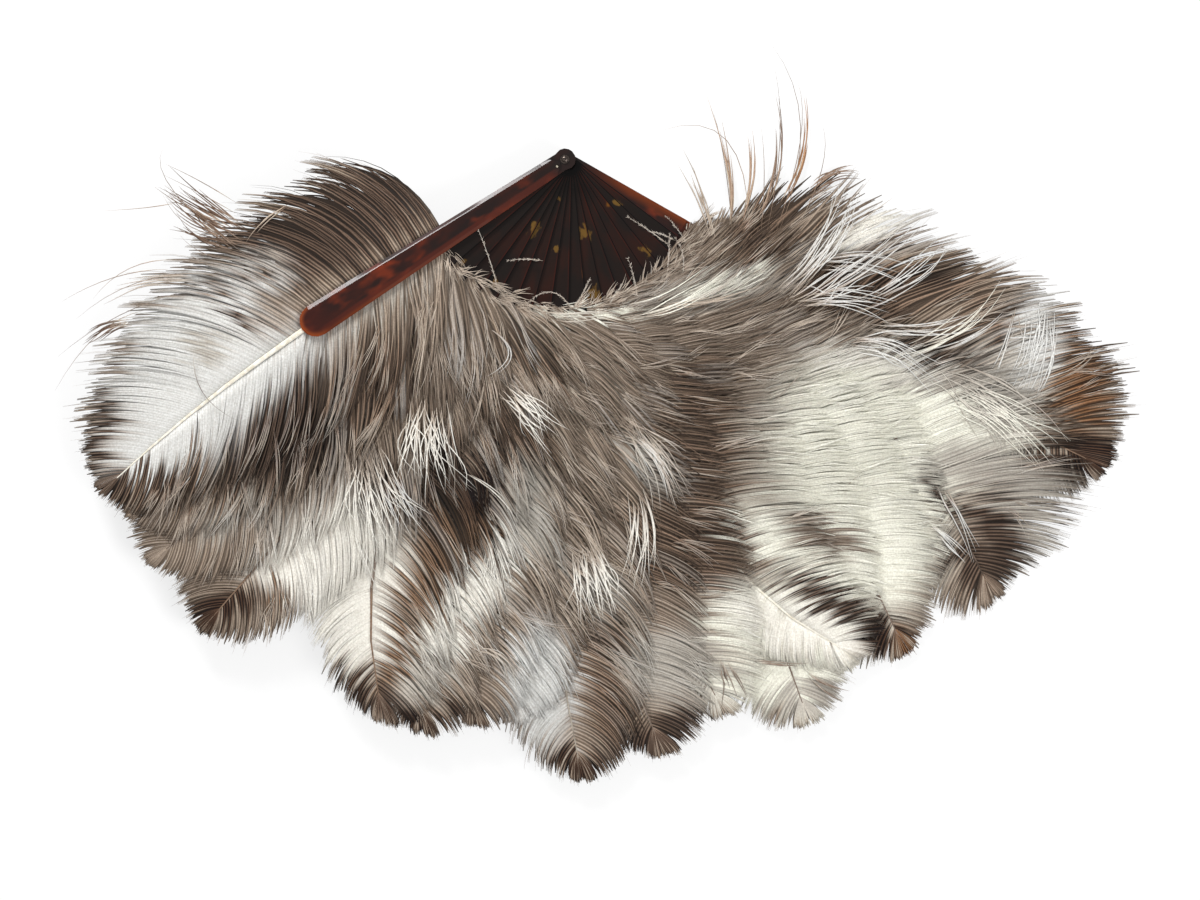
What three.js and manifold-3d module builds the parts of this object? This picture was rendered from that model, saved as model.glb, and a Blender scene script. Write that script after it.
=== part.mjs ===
// Open ostrich feather fan: two guards and sixteen sticks turn on one rivet, and each carries one plume.
// Millimetres, +Z up. The fan lies open on its rear guard: the rivet's axis is Z, the plumes point to -Y,
// and the origin is on the rivet's axis, level with the back of the rear guard.

import * as THREE from "three";
import { mergeVertices } from "three/addons/utils/BufferGeometryUtils.js";
import Module from "manifold-3d";

const wasm = await Module();
wasm.setup();

// The fan as a whole
const STICK_COUNT = 16; // between the two guards
const SPREAD_DEG = 115.7; // from the rear guard round to the front guard
const REAR_GUARD_DEG = -31; // direction of the rear guard, from +X
const LAYER_GAP = 0.25; // between one layer of the stack and the next

// Sticks: thin blades, a little bowed, that splay apart to make room for the plumes between them
const STICK_LENGTH = 195; // rivet to round end
const STICK_THICKNESS = 0.8;
const STICK_HEAD_RADIUS = 6.6;
const STICK_NECK_WIDTH = 9.5; // of the blade at the rivet, inside the round head
const STICK_END_WIDTH = 16;
const FLAT_HEAD_RADIUS = 15; // the sticks lie flat on each other this far round the rivet
const SPLAY_HEIGHT = 1.1; // how much further apart two sticks lie at their ends than at the rivet
const SPLAY_BOW = 0.5; // 0 makes straight sticks

// Guards: thicker bars, bevelled along both edges of their outer face
const GUARD_LENGTH = 202;
const GUARD_THICKNESS = 3;
const GUARD_HEAD_RADIUS = 7;
const GUARD_NECK_WIDTH = 12;
const GUARD_END_WIDTH = 21;
const BEVEL_DEPTH = 1.3;
const INNER_BEVEL_WIDTH = 5; // along the edge beside the sticks
const OUTER_BEVEL_WIDTH = 2.4;
const FRONT_HEAD_THICKNESS = 1.5; // the front guard is cut down round the rivet
const SHOULDER_CLEARANCE = 0.6; // from the front washer to the point where the full thickness starts
const SEAT_MARGIN_LENGTH = 2; // the rear guard is cut down this far ahead of its quill

// Rivet through all heads, with a washer under each end
const RIVET_RADIUS = 1.4;
const RIVET_HEAD_RADIUS = 2.1;
const RIVET_DOME_HEIGHT = 0.8;
const RIVET_TAIL_HEIGHT = 0.5;
const RIVET_CLEARANCE = 0.25;
const WASHER_RADIUS = 2.9;
const WASHER_THICKNESS = 0.4;

// Small pin in the front guard, beside the shoulder
const PIN_RADIUS = 0.8;
const PIN_SHOULDER_DISTANCE = 3.4; // from the shoulder's point along the guard
const PIN_SIDE_DISTANCE = 1.2; // towards the sticks
const PIN_DEPTH = 1.2;
const PIN_DOME_HEIGHT = 0.4;

// Quills: shaved flat under the sticks, thicker beyond them, and thin at the plume's tip
const QUILL_START_RADIUS = 90; // from the rivet's axis
const BARE_QUILL_LENGTH = 4; // without barbs, at the base
const QUILL_WIDTH = 3.4;
const QUILL_TIP_WIDTH = 0.8;
const QUILL_TIP_DISTANCE = 16; // the quill stops this far short of the plume's tip
const QUILL_FILL = 0.8; // share of its layer's height that the quill fills beyond the sticks
const QUILL_STEP_LENGTH = 2; // length of the shaved step beyond the sticks and guards

// Plumes: broad soft vanes on both sides of the quill, one layer each
const PLUME_LENGTH = 408; // rivet to tip of the longest one
const VANE_WIDTH = 68; // quill to edge
const OUTER_VANE_WIDTH = 92; // the free side of the two outermost plumes
const TUFT_RADIUS = 157; // a tuft of loose barbs stands out of the rear guard's plume here
const TUFT_WIDTH = 60; // beyond the plume's edge
const TUFT_HALF_LENGTH = 34; // from its point to each end of its base
const TIP_WIDTH = 7; // quill line to edge at the blunt base and tip
const FULL_WIDTH_SHARE = 0.22; // of the plume's length, where it reaches its full width
const TAPER_SHARE = 0.45; // where it starts to narrow
const TIP_ROUNDNESS = 2.4; // 2 makes an elliptical tip
const TIP_LAYER_HEIGHT = 1; // between neighbouring layers at the plumes' tips
const BEND_START_RADIUS = 150; // the plumes bend sideways from here on

// Each plume's share of the longest one's reach and its sideways bend at the tip, from the rear guard
// to the front guard
const PLUME_SHARES = [
  1, 0.988, 0.917, 0.963, 0.936, 0.985, 0.931, 0.926, 0.966,
  0.993, 0.902, 0.917, 0.946, 0.946, 0.951, 0.926, 0.902, 0.912,
];
const PLUME_BEND_DEG = [1.5, -8, -7, -4, -3, -1.5, 13, 5, 5, 4, 4, 7, 9, 12, -1.5, -3, -1, 2.5];

// Facets
const BORE_SIDES = 16;
const HEAD_ARC_DEG = [14, 35, 60, 85]; // stations round a blade's head, and round its other end
const END_ARC_DEG = [25, 48, 68, 83];
// Shares of the quill's half width and height, and of the rivet head's radius and height
const QUILL_SECTION = [[-0.5, 0], [0.5, 0], [1, 0.45], [0.5, 1], [-0.5, 1], [-1, 0.45]];
const DOME_SECTION = [[1, 0], [0.85, 0.55], [0.45, 1], [0, 1]];
const BLADE_STEPS = 6; // along a stick or guard
const VANE_SHARES_INSIDE = [0, 0.1, 0.25, 0.42, 0.58, 0.78, 1]; // plume stations as far as the blades reach
const VANE_SHARES_OUTSIDE = [0.2, 0.4, 0.6, 0.8, 1]; // and beyond them
const VANE_STRIPS = 2; // on each side of the quill
const TIP_STEP_SHARE = 0.6; // of the way from the quill's end to the plume's tip

// Values that follow from the sizes above
const LAST = STICK_COUNT + 1; // index of the front guard; the rear guard is 0
const BLADE_REACH = Math.max(STICK_LENGTH, GUARD_LENGTH);
const VANE_START = QUILL_START_RADIUS + BARE_QUILL_LENGTH;
const SHOULDER_DISTANCE = WASHER_RADIUS + SHOULDER_CLEARANCE; // from the rivet's axis
const PIN_DISTANCE = SHOULDER_DISTANCE + PIN_SHOULDER_DISTANCE;
const SEAT_DEPTH = SPLAY_HEIGHT + LAYER_GAP;
const SEAT_FLOOR = GUARD_THICKNESS - SEAT_DEPTH + LAYER_GAP;
const BORE_RADIUS = RIVET_RADIUS + RIVET_CLEARANCE;
const WASHER_RECESS = RIVET_TAIL_HEIGHT + WASHER_THICKNESS + 2 * RIVET_CLEARANCE;
const FRONT_HEAD_TOP = stickFloor(LAST, 0) + FRONT_HEAD_THICKNESS;
const TALL = 2 * (stickFloor(LAST, STICK_LENGTH) + GUARD_THICKNESS); // more than the fan's height

const materials = {
  shell: new THREE.MeshStandardMaterial({ color: 0x2c2320, roughness: 0.18, metalness: 0 }),
  amberShell: new THREE.MeshStandardMaterial({ color: 0x5a2410, roughness: 0.16, metalness: 0 }),
  quill: new THREE.MeshStandardMaterial({ color: 0xe8e0ca, roughness: 0.45, metalness: 0 }),
  paleVane: new THREE.MeshStandardMaterial({ color: 0xe4dfd2, roughness: 0.9, metalness: 0 }),
  brownVane: new THREE.MeshStandardMaterial({ color: 0x7d6d62, roughness: 0.9, metalness: 0 }),
  steel: new THREE.MeshStandardMaterial({ color: 0x8f8a80, roughness: 0.3, metalness: 1 }),
};

// Heights of the layers, all worked out from the distance to the rivet's axis, so that the layers
// slide over each other without touching when the fan closes

function splay(radius) {
  const share = (radius - FLAT_HEAD_RADIUS) / (BLADE_REACH - FLAT_HEAD_RADIUS);
  const along = THREE.MathUtils.clamp(share, 0, 1);
  return SPLAY_HEIGHT * (along + SPLAY_BOW * along * (1 - along));
}

function shareBeyondBlades(radius) {
  return THREE.MathUtils.clamp((radius - BLADE_REACH) / (PLUME_LENGTH - BLADE_REACH), 0, 1);
}

function stickFloor(index, radius) {
  if (index === 0) return 0;
  const flatStack = GUARD_THICKNESS + LAYER_GAP + (index - 1) * (STICK_THICKNESS + LAYER_GAP);
  return flatStack + index * splay(radius);
}

function plumeFloor(index, radius) {
  const beyond = shareBeyondBlades(radius);
  const sag = SEAT_FLOOR * beyond;
  if (index === 0) return SEAT_FLOOR - sag;
  const pitch = THREE.MathUtils.lerp(STICK_THICKNESS + LAYER_GAP + splay(radius), TIP_LAYER_HEIGHT, beyond);
  return GUARD_THICKNESS + LAYER_GAP - sag + (index - 1) * pitch;
}

function vaneThickness(radius) {
  const pitch = THREE.MathUtils.lerp(splay(radius), TIP_LAYER_HEIGHT, shareBeyondBlades(radius));
  return pitch - LAYER_GAP;
}

function quillThickness(index, radius) {
  if (radius < BLADE_REACH + QUILL_STEP_LENGTH) return vaneThickness(radius);
  return QUILL_FILL * (plumeFloor(index + 1, radius) - plumeFloor(index, radius) - LAYER_GAP);
}

// Closed surfaces

function meshGeometry(points, triangles) {
  const geometry = new THREE.BufferGeometry();
  geometry.setAttribute("position", new THREE.Float32BufferAttribute(points.flat(), 3));
  geometry.setIndex(triangles.flat());
  geometry.computeVertexNormals();
  return geometry;
}

// Joins rings of points, each turning the same way seen from the last ring, and caps both ends
function loft(rings) {
  const size = rings[0].length;
  const triangles = [];
  for (let ring = 0; ring + 1 < rings.length; ring += 1) {
    for (let side = 0; side < size; side += 1) {
      const near = ring * size + side;
      const nearNext = ring * size + ((side + 1) % size);
      triangles.push([near, nearNext, nearNext + size], [near, nearNext + size, near + size]);
    }
  }
  const lastRing = (rings.length - 1) * size;
  for (let side = 1; side + 1 < size; side += 1) {
    triangles.push([0, side + 1, side], [lastRing, lastRing + side, lastRing + side + 1]);
  }
  return meshGeometry(rings.flat(), triangles);
}

// Makes a plate from a grid of lower and upper points, leaving out the cells that are not filled
function plate(lower, upper, isFilled) {
  const rows = lower.length;
  const columns = lower[0].length;
  const upperStart = rows * columns;
  const at = (row, column) => row * columns + column;
  const filled = (row, column) =>
    row >= 0 && column >= 0 && row + 1 < rows && column + 1 < columns && isFilled(row, column);
  const triangles = [];
  for (let row = 0; row + 1 < rows; row += 1) {
    for (let column = 0; column + 1 < columns; column += 1) {
      if (!filled(row, column)) continue;
      const corners = [at(row, column), at(row + 1, column), at(row + 1, column + 1), at(row, column + 1)];
      const neighbours = [[0, -1], [1, 0], [0, 1], [-1, 0]];
      const [a, b, c, d] = corners;
      triangles.push([a, c, b], [a, d, c]);
      triangles.push([a + upperStart, b + upperStart, c + upperStart]);
      triangles.push([a + upperStart, c + upperStart, d + upperStart]);
      neighbours.forEach(([rowStep, columnStep], edge) => {
        if (filled(row + rowStep, column + columnStep)) return;
        const from = corners[edge];
        const to = corners[(edge + 1) % corners.length];
        triangles.push([from, to, to + upperStart], [from, to + upperStart, from + upperStart]);
      });
    }
  }
  return meshGeometry([...lower.flat(), ...upper.flat()], triangles);
}

// Booleans

function solid(geometry) {
  const bare = geometry.clone();
  bare.deleteAttribute("normal");
  bare.deleteAttribute("uv");
  const merged = mergeVertices(bare);
  const vertProperties = new Float32Array(merged.attributes.position.array);
  const triVerts = new Uint32Array(merged.index.array);
  return new wasm.Manifold(new wasm.Mesh({ numProp: 3, vertProperties, triVerts }));
}

function cut(geometry, ...tools) {
  const body = tools.reduce((rest, tool) => rest.subtract(solid(tool)), solid(geometry));
  const mesh = body.getMesh();
  const result = new THREE.BufferGeometry();
  result.setAttribute("position", new THREE.BufferAttribute(mesh.vertProperties, 3));
  result.setIndex(new THREE.BufferAttribute(mesh.triVerts, 1));
  result.computeVertexNormals();
  return result;
}

function cylinder(radius, bottom, top) {
  const geometry = new THREE.CylinderGeometry(radius, radius, top - bottom, BORE_SIDES);
  return geometry.rotateX(Math.PI / 2).translate(0, 0, (bottom + top) / 2);
}

function turned(profile) {
  const points = profile.map(([radius, height]) => new THREE.Vector2(radius, height));
  return new THREE.LatheGeometry(points, BORE_SIDES).rotateX(Math.PI / 2);
}

// Sticks and guards, made along +X

function bladeStations(length, headRadius, neckWidth, endWidth) {
  const endRadius = endWidth / 2;
  const straightEnd = length - endRadius;
  const halfWidth = (x) => {
    const head = Math.sqrt(Math.max(0, headRadius ** 2 - x ** 2));
    const blade = THREE.MathUtils.lerp(neckWidth / 2, endRadius, x / straightEnd);
    return x < 0 ? head : Math.max(head, blade);
  };
  const stations = [];
  for (const degrees of HEAD_ARC_DEG) {
    const x = -headRadius * Math.cos(THREE.MathUtils.degToRad(degrees));
    stations.push({ x, half: halfWidth(x) });
  }
  stations.push({ x: headRadius / 2, half: halfWidth(headRadius / 2) });
  for (let step = 0; step <= BLADE_STEPS; step += 1) {
    const x = THREE.MathUtils.lerp(FLAT_HEAD_RADIUS, straightEnd, step / BLADE_STEPS);
    stations.push({ x, half: halfWidth(x) });
  }
  for (const degrees of END_ARC_DEG) {
    const angle = THREE.MathUtils.degToRad(degrees);
    stations.push({ x: straightEnd + endRadius * Math.sin(angle), half: endRadius * Math.cos(angle) });
  }
  return stations;
}

function stickGeometry(index) {
  const stations = bladeStations(STICK_LENGTH, STICK_HEAD_RADIUS, STICK_NECK_WIDTH, STICK_END_WIDTH);
  const rings = stations.map(({ x, half }) => {
    const point = (y, height) => [x, y, stickFloor(index, Math.hypot(x, y)) + height];
    return [point(-half, 0), point(half, 0), point(half, STICK_THICKNESS), point(-half, STICK_THICKNESS)];
  });
  return cut(loft(rings), cylinder(BORE_RADIUS, -1, TALL));
}

// A guard's section has a flat face towards the sticks and a bevelled face away from them
function guardRings(index, isFront) {
  const stations = bladeStations(GUARD_LENGTH, GUARD_HEAD_RADIUS, GUARD_NECK_WIDTH, GUARD_END_WIDTH);
  return stations.map(({ x, half }) => {
    const fit = Math.min(1, half / (INNER_BEVEL_WIDTH + OUTER_BEVEL_WIDTH));
    const inner = INNER_BEVEL_WIDTH * fit;
    const outer = OUTER_BEVEL_WIDTH * fit;
    const point = (y, height) => [x, y, stickFloor(index, Math.hypot(x, y)) + height];
    const side = GUARD_THICKNESS - BEVEL_DEPTH;
    if (isFront) {
      return [
        point(-half, 0), point(half, 0), point(half, side),
        point(half - inner, GUARD_THICKNESS), point(outer - half, GUARD_THICKNESS), point(-half, side),
      ];
    }
    return [
      point(inner - half, 0), point(half - outer, 0), point(half, BEVEL_DEPTH),
      point(half, GUARD_THICKNESS), point(-half, GUARD_THICKNESS), point(-half, BEVEL_DEPTH),
    ];
  });
}

function extrudedUp(outline, bottom, top) {
  const shape = new THREE.Shape(outline.map(([x, y]) => new THREE.Vector2(x, y)));
  const geometry = new THREE.ExtrudeGeometry(shape, { depth: top - bottom, bevelEnabled: false });
  return geometry.translate(0, 0, bottom);
}

// The front guard is cut down round the rivet, back to a pointed shoulder, and holds the small pin
function frontGuardGeometry() {
  const beyond = 2 * GUARD_HEAD_RADIUS;
  const headCut = extrudedUp(
    [
      [-beyond, -beyond], [SHOULDER_DISTANCE + beyond, -beyond], [SHOULDER_DISTANCE, 0],
      [SHOULDER_DISTANCE + beyond, beyond], [-beyond, beyond],
    ],
    FRONT_HEAD_TOP, TALL,
  );
  const pinHole = cylinder(PIN_RADIUS + RIVET_CLEARANCE, pinFloor(), TALL);
  pinHole.translate(PIN_DISTANCE, PIN_SIDE_DISTANCE, 0);
  return cut(loft(guardRings(LAST, true)), cylinder(BORE_RADIUS, -1, TALL), headCut, pinHole);
}

// The rear guard is cut down where its quill and plume lie, and recessed for the lower washer
function rearGuardGeometry() {
  const seatCut = new THREE.BoxGeometry(GUARD_LENGTH, 2 * GUARD_END_WIDTH, 2 * SEAT_DEPTH);
  seatCut.translate(QUILL_START_RADIUS - SEAT_MARGIN_LENGTH + GUARD_LENGTH / 2, 0, GUARD_THICKNESS);
  const recess = cylinder(WASHER_RADIUS + RIVET_CLEARANCE, -1, WASHER_RECESS);
  return cut(loft(guardRings(0, false)), cylinder(BORE_RADIUS, -1, TALL), recess, seatCut);
}

function pinFloor() {
  return stickFloor(LAST, PIN_DISTANCE) + GUARD_THICKNESS - PIN_DEPTH;
}

function pinGeometry() {
  const bottom = pinFloor() + RIVET_CLEARANCE;
  const rim = pinFloor() + PIN_DEPTH;
  const top = rim + PIN_DOME_HEIGHT;
  const profile = [[0, bottom], [PIN_RADIUS, bottom], [PIN_RADIUS, rim], [PIN_RADIUS / 2, top], [0, top]];
  return turned(profile).translate(PIN_DISTANCE, PIN_SIDE_DISTANCE, 0);
}

// Rivet

function rivetGeometry() {
  const headFloor = FRONT_HEAD_TOP + WASHER_THICKNESS + 2 * RIVET_CLEARANCE;
  const dome = DOME_SECTION.map(([across, up]) => [
    across * RIVET_HEAD_RADIUS, headFloor + up * RIVET_DOME_HEIGHT,
  ]);
  return turned([
    [0, 0], [RIVET_HEAD_RADIUS, 0], [RIVET_HEAD_RADIUS, RIVET_TAIL_HEIGHT],
    [RIVET_RADIUS, RIVET_TAIL_HEIGHT], [RIVET_RADIUS, headFloor], ...dome,
  ]);
}

function washerGeometry(bottom) {
  const top = bottom + WASHER_THICKNESS;
  const ring = [[BORE_RADIUS, bottom], [WASHER_RADIUS, bottom], [WASHER_RADIUS, top], [BORE_RADIUS, top]];
  return turned([...ring, ring[0]]);
}

// Feathers, made along +X: a quill in the slot of its plume, both following the same stations

function quillTip(index) {
  return reach(index) - QUILL_TIP_DISTANCE;
}

function reach(index) {
  return PLUME_LENGTH * PLUME_SHARES[index % PLUME_SHARES.length];
}

function quillStations(index) {
  const inside = VANE_SHARES_INSIDE.map((share) => THREE.MathUtils.lerp(VANE_START, BLADE_REACH, share));
  const step = BLADE_REACH + QUILL_STEP_LENGTH;
  const outside = VANE_SHARES_OUTSIDE.map((share) => THREE.MathUtils.lerp(step, quillTip(index), share));
  return [...inside, step, ...outside];
}

function centreAngle(index, radius) {
  const share = Math.max(0, radius - BEND_START_RADIUS) / (reach(index) - BEND_START_RADIUS);
  return THREE.MathUtils.degToRad(PLUME_BEND_DEG[index % PLUME_BEND_DEG.length]) * share ** 2;
}

function quillHalfWidth(index, radius) {
  const share = THREE.MathUtils.clamp((radius - BLADE_REACH) / (quillTip(index) - BLADE_REACH), 0, 1);
  return THREE.MathUtils.lerp(QUILL_WIDTH, QUILL_TIP_WIDTH, share) / 2;
}

function polar(radius, angle, height) {
  return [radius * Math.cos(angle), radius * Math.sin(angle), height];
}

function quillGeometry(index) {
  const rings = [QUILL_START_RADIUS, ...quillStations(index)].map((radius) => {
    const half = quillHalfWidth(index, radius);
    const floor = plumeFloor(index, radius);
    const height = quillThickness(index, radius);
    return QUILL_SECTION.map(([across, up]) =>
      polar(radius, centreAngle(index, radius) + (across * half) / radius, floor + up * height),
    );
  });
  return loft(rings);
}

// Half width of a plume on the side towards the rear guard (1) or towards the front guard (-1)
function vaneWidth(index, radius, side) {
  const hasTuft = index === 0 && side > 0;
  const isFree = hasTuft || (index === LAST && side < 0);
  const fullWidth = isFree ? OUTER_VANE_WIDTH : VANE_WIDTH;
  const tuftShare = Math.max(0, 1 - Math.abs(radius - TUFT_RADIUS) / TUFT_HALF_LENGTH);
  const share = (radius - VANE_START) / (reach(index) - VANE_START);
  const opening = Math.sqrt(Math.min(1, share / FULL_WIDTH_SHARE));
  const closing = Math.max(0, share - TAPER_SHARE) / (1 - TAPER_SHARE);
  const rounding = Math.max(0, 1 - closing ** TIP_ROUNDNESS) ** (1 / TIP_ROUNDNESS);
  return Math.max(TIP_WIDTH, fullWidth * opening * rounding) + (hasTuft ? TUFT_WIDTH * tuftShare : 0);
}

function plumeGeometry(index) {
  const slotEnd = quillTip(index) + LAYER_GAP;
  const roundedTip = THREE.MathUtils.lerp(slotEnd, reach(index), TIP_STEP_SHARE);
  const radii = [...quillStations(index).slice(0, -1), slotEnd, roundedTip, reach(index)];
  const row = (radius) => {
    const slot = quillHalfWidth(index, radius) + LAYER_GAP;
    const offsets = [];
    for (let strip = VANE_STRIPS; strip >= 0; strip -= 1) {
      offsets.push(-THREE.MathUtils.lerp(slot, vaneWidth(index, radius, -1), strip / VANE_STRIPS));
    }
    for (let strip = 0; strip <= VANE_STRIPS; strip += 1) {
      offsets.push(THREE.MathUtils.lerp(slot, vaneWidth(index, radius, 1), strip / VANE_STRIPS));
    }
    return offsets.map((offset) => centreAngle(index, radius) + offset / radius);
  };
  const surface = (lift) =>
    radii.map((radius) =>
      row(radius).map((angle) =>
        polar(radius, angle, plumeFloor(index, radius) + lift * vaneThickness(radius)),
      ),
    );
  const isFilled = (station, strip) => strip !== VANE_STRIPS || radii[station] >= slotEnd;
  return plate(surface(0), surface(1), isFilled);
}

// Assembly

function named(name, geometry, material) {
  const mesh = new THREE.Mesh(geometry, material);
  mesh.name = name;
  return mesh;
}

function bladeMesh(index) {
  if (index === 0) return named("rear_guard", rearGuardGeometry(), materials.amberShell);
  if (index === LAST) return named("front_guard", frontGuardGeometry(), materials.amberShell);
  return named(`stick_${numbered(index)}`, stickGeometry(index), materials.shell);
}

function numbered(index) {
  return String(index).padStart(2, "0");
}

const fan = new THREE.Group();
for (let index = 0; index <= LAST; index += 1) {
  const leaf = new THREE.Group();
  leaf.rotation.z = THREE.MathUtils.degToRad(REAR_GUARD_DEG - (SPREAD_DEG * index) / LAST);
  const vaneMaterial = index % 2 === 0 ? materials.brownVane : materials.paleVane;
  leaf.add(bladeMesh(index));
  leaf.add(named(`quill_${numbered(index)}`, quillGeometry(index), materials.quill));
  leaf.add(named(`plume_${numbered(index)}`, plumeGeometry(index), vaneMaterial));
  if (index === LAST) leaf.add(named("guard_pin", pinGeometry(), materials.steel));
  fan.add(leaf);
}
fan.add(named("rivet", rivetGeometry(), materials.steel));
fan.add(named("rear_washer", washerGeometry(RIVET_TAIL_HEIGHT + RIVET_CLEARANCE), materials.steel));
fan.add(named("front_washer", washerGeometry(FRONT_HEAD_TOP + RIVET_CLEARANCE), materials.steel));

export default fan;
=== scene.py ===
"""Looks of an open ostrich feather fan: plumes of single barbs, tortoiseshell sticks and guards, soft light.

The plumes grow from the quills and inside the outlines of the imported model, in metres and in its frame:
the rivet's axis is Z, the fan lies on z = 0 and the plumes point to -Y. Places in plan are complex numbers.
"""
import math
from types import SimpleNamespace

import bpy
import numpy as np
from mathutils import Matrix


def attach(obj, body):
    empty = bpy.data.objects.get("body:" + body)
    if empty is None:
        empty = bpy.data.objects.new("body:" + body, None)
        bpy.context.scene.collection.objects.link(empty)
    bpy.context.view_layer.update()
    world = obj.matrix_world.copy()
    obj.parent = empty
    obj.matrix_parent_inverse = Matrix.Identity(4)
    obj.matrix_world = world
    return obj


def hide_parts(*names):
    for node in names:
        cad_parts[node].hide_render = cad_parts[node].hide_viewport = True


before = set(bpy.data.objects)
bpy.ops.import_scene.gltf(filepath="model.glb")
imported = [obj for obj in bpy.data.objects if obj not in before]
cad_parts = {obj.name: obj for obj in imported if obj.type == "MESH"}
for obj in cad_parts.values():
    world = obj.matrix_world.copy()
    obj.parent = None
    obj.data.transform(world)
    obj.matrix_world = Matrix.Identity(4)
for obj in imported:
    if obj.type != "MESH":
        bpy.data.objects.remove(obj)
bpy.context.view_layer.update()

MM = 0.001
LAST = 17  # index of the front guard's plume; the rear guard's is 0
SEED = 1920

# Sticks and guards, as built
STICK_LENGTH = 195 * MM
STICK_NECK_WIDTH = 9.5 * MM
STICK_END_WIDTH = 16 * MM
GUARD_LENGTH = 202 * MM
GUARD_NECK_WIDTH = 12 * MM
GUARD_END_WIDTH = 21 * MM

# Layers
CLEAR_RADIUS = 215 * MM  # inside it no barb stands proud of its layer, so that the sticks can close
PUFF_RUN = 20 * MM  # over which barbs may rise beyond it
LAYER_MARGIN = 0.05 * MM  # under the next plume
TOP_PUFF = 3 * MM  # of the uppermost plume
LOWEST = 0.1 * MM
OVER_QUILL = 0.2 * MM  # of loose strands between the sticks
INTO_PLUME = 0.08 * MM  # of loose strands on a plume
LOCK_LIFT = (0.05, 0.5)  # of the layer's height
RIDGE_LIFT = 0.3  # of a line's middle
LOCK_PUFF = 0.8  # of the free height

# Barbs
RINGS = 9  # sections along one barb
BARB_SPACING = 0.32 * MM  # along the quill
BARB_HALF = 0.31 * MM  # half of its width
BARB_HEIGHT = 0.3 * MM
BARB_TAPER = (0.08, 1.8)  # thickness at the tip, and the power by which a strand thins
GROUND_SPACING = 1.5 * MM  # of the broad strands under the barbs, a dark sheet of painted shade
GROUND_HALF = 1.5 * MM
GROUND_HEIGHT = 0.1 * MM
GROUND_TAPER = (0.15, 2.5)
GROUND_REACH = 0.93  # of the barbs
SHORTEST_BARB = 4 * MM
LONGEST_BARB = 170 * MM
TRIM_STEPS = 14  # halvings that fit a length to the outline
FREE_SIDE_FILL = 2.15  # times as many barbs
SLEEK = 0.4  # looseness of the front guard's free side
BASE_SHARE = 0.1  # of the quill, where the barbs lie along the plume's edge
BASE_BARB = 46 * MM  # there they reach past the outline
LINE_SPACING = 1.35 * MM  # at the base, of barbs that cling together, palest in the middle, a painted highlight
LINE_GROWTH = 1.1  # towards the tip
LOCK_LINES = 6  # lines that lean together
LINE_PULL = (0.2, 0.6)  # by which the barbs of a line draw together
LOCK_PULL = 0.35  # of a lock, at most
LONGEST_SHARE = 1.04  # of the length that ends on the outline
RAGGED = 0.18  # by which lines end short of that
TUFT_RAGGED = 0.24  # more of it where the tuft begins
TUFT_RAGGED_RUN = 0.45  # of the quill
FLYAWAYS = 0.012  # of the tuft's barbs, which stand out of it
FRINGE_SHARE = 0.05  # of all barbs, which reach past the outline
FRINGE_TIMES = 1.14
PALE_TIPPED = 0.16  # of the locks
PALE_TIP = 0.75  # share of white

# How far barbs stray: one standard deviation, in degrees or as a share
LOCK_LEAN_DEG = 5
LINE_LEAN_DEG = 0.9
BASE_LEAN_DEG = 6  # of lines where a plume begins
WAVE_DEG = 8  # of locks
RIPPLE_DEG = 2.5  # of lines
CURL_STRAY = 0.3
LENGTH_STRAY = 0.07

# Loose strands
FLUFF_LOCKS = 30  # small locks that lie askew on a plume
FLUFF_STRANDS = 5
FLUFF_SPREAD = 2.2  # in mm
BASE_WISPS = 6  # small locks over the sticks where a plume begins
LOOSE_HALF = 0.27 * MM
LOCK_HALF = 0.48 * MM
LOOSE_HEIGHT = 0.27 * MM
LOOSE_TAPER = (0.1, 2.2)
STRAY_HALF = 0.28 * MM
BARBULES = 60  # along a downy strand
BARBULE_LENGTH = 1.8 * MM
BARBULE_HALF = 0.13 * MM
STRAY_WHITENED = 0.1
MAP_COLUMNS = 24  # in a plume's map

# How colours lie on the barbs
PATCH_END = 1.4  # of its half length and half width
PATCH_FADE = 0.8
LINE_DRIFT = 7  # in mm, by which a patch's edge strays along a line
BARB_DRIFT = 2


# Colours

def shade(red, green, blue):
    """A colour as it looks on screen, 0 to 255, in the linear values that shaders use."""
    screen = np.array([red, green, blue]) / 255
    return np.where(screen <= 0.04045, screen / 12.92, ((screen + 0.055) / 1.055) ** 2.4)


WHITE = shade(234, 234, 231)
IVORY = shade(251, 248, 239)
CREAM = shade(252, 251, 238)
PALE = shade(210, 203, 192)
TAUPE = shade(178, 157, 138)
UMBER = shade(136, 114, 97)
BROWN = shade(100, 82, 70)
DARK = shade(76, 56, 44)
TAN = shade(138, 111, 89)
RUST = shade(132, 96, 68)
RIDGE = shade(210, 196, 180)  # the pale middle of a line of barbs, a painted highlight
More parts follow.
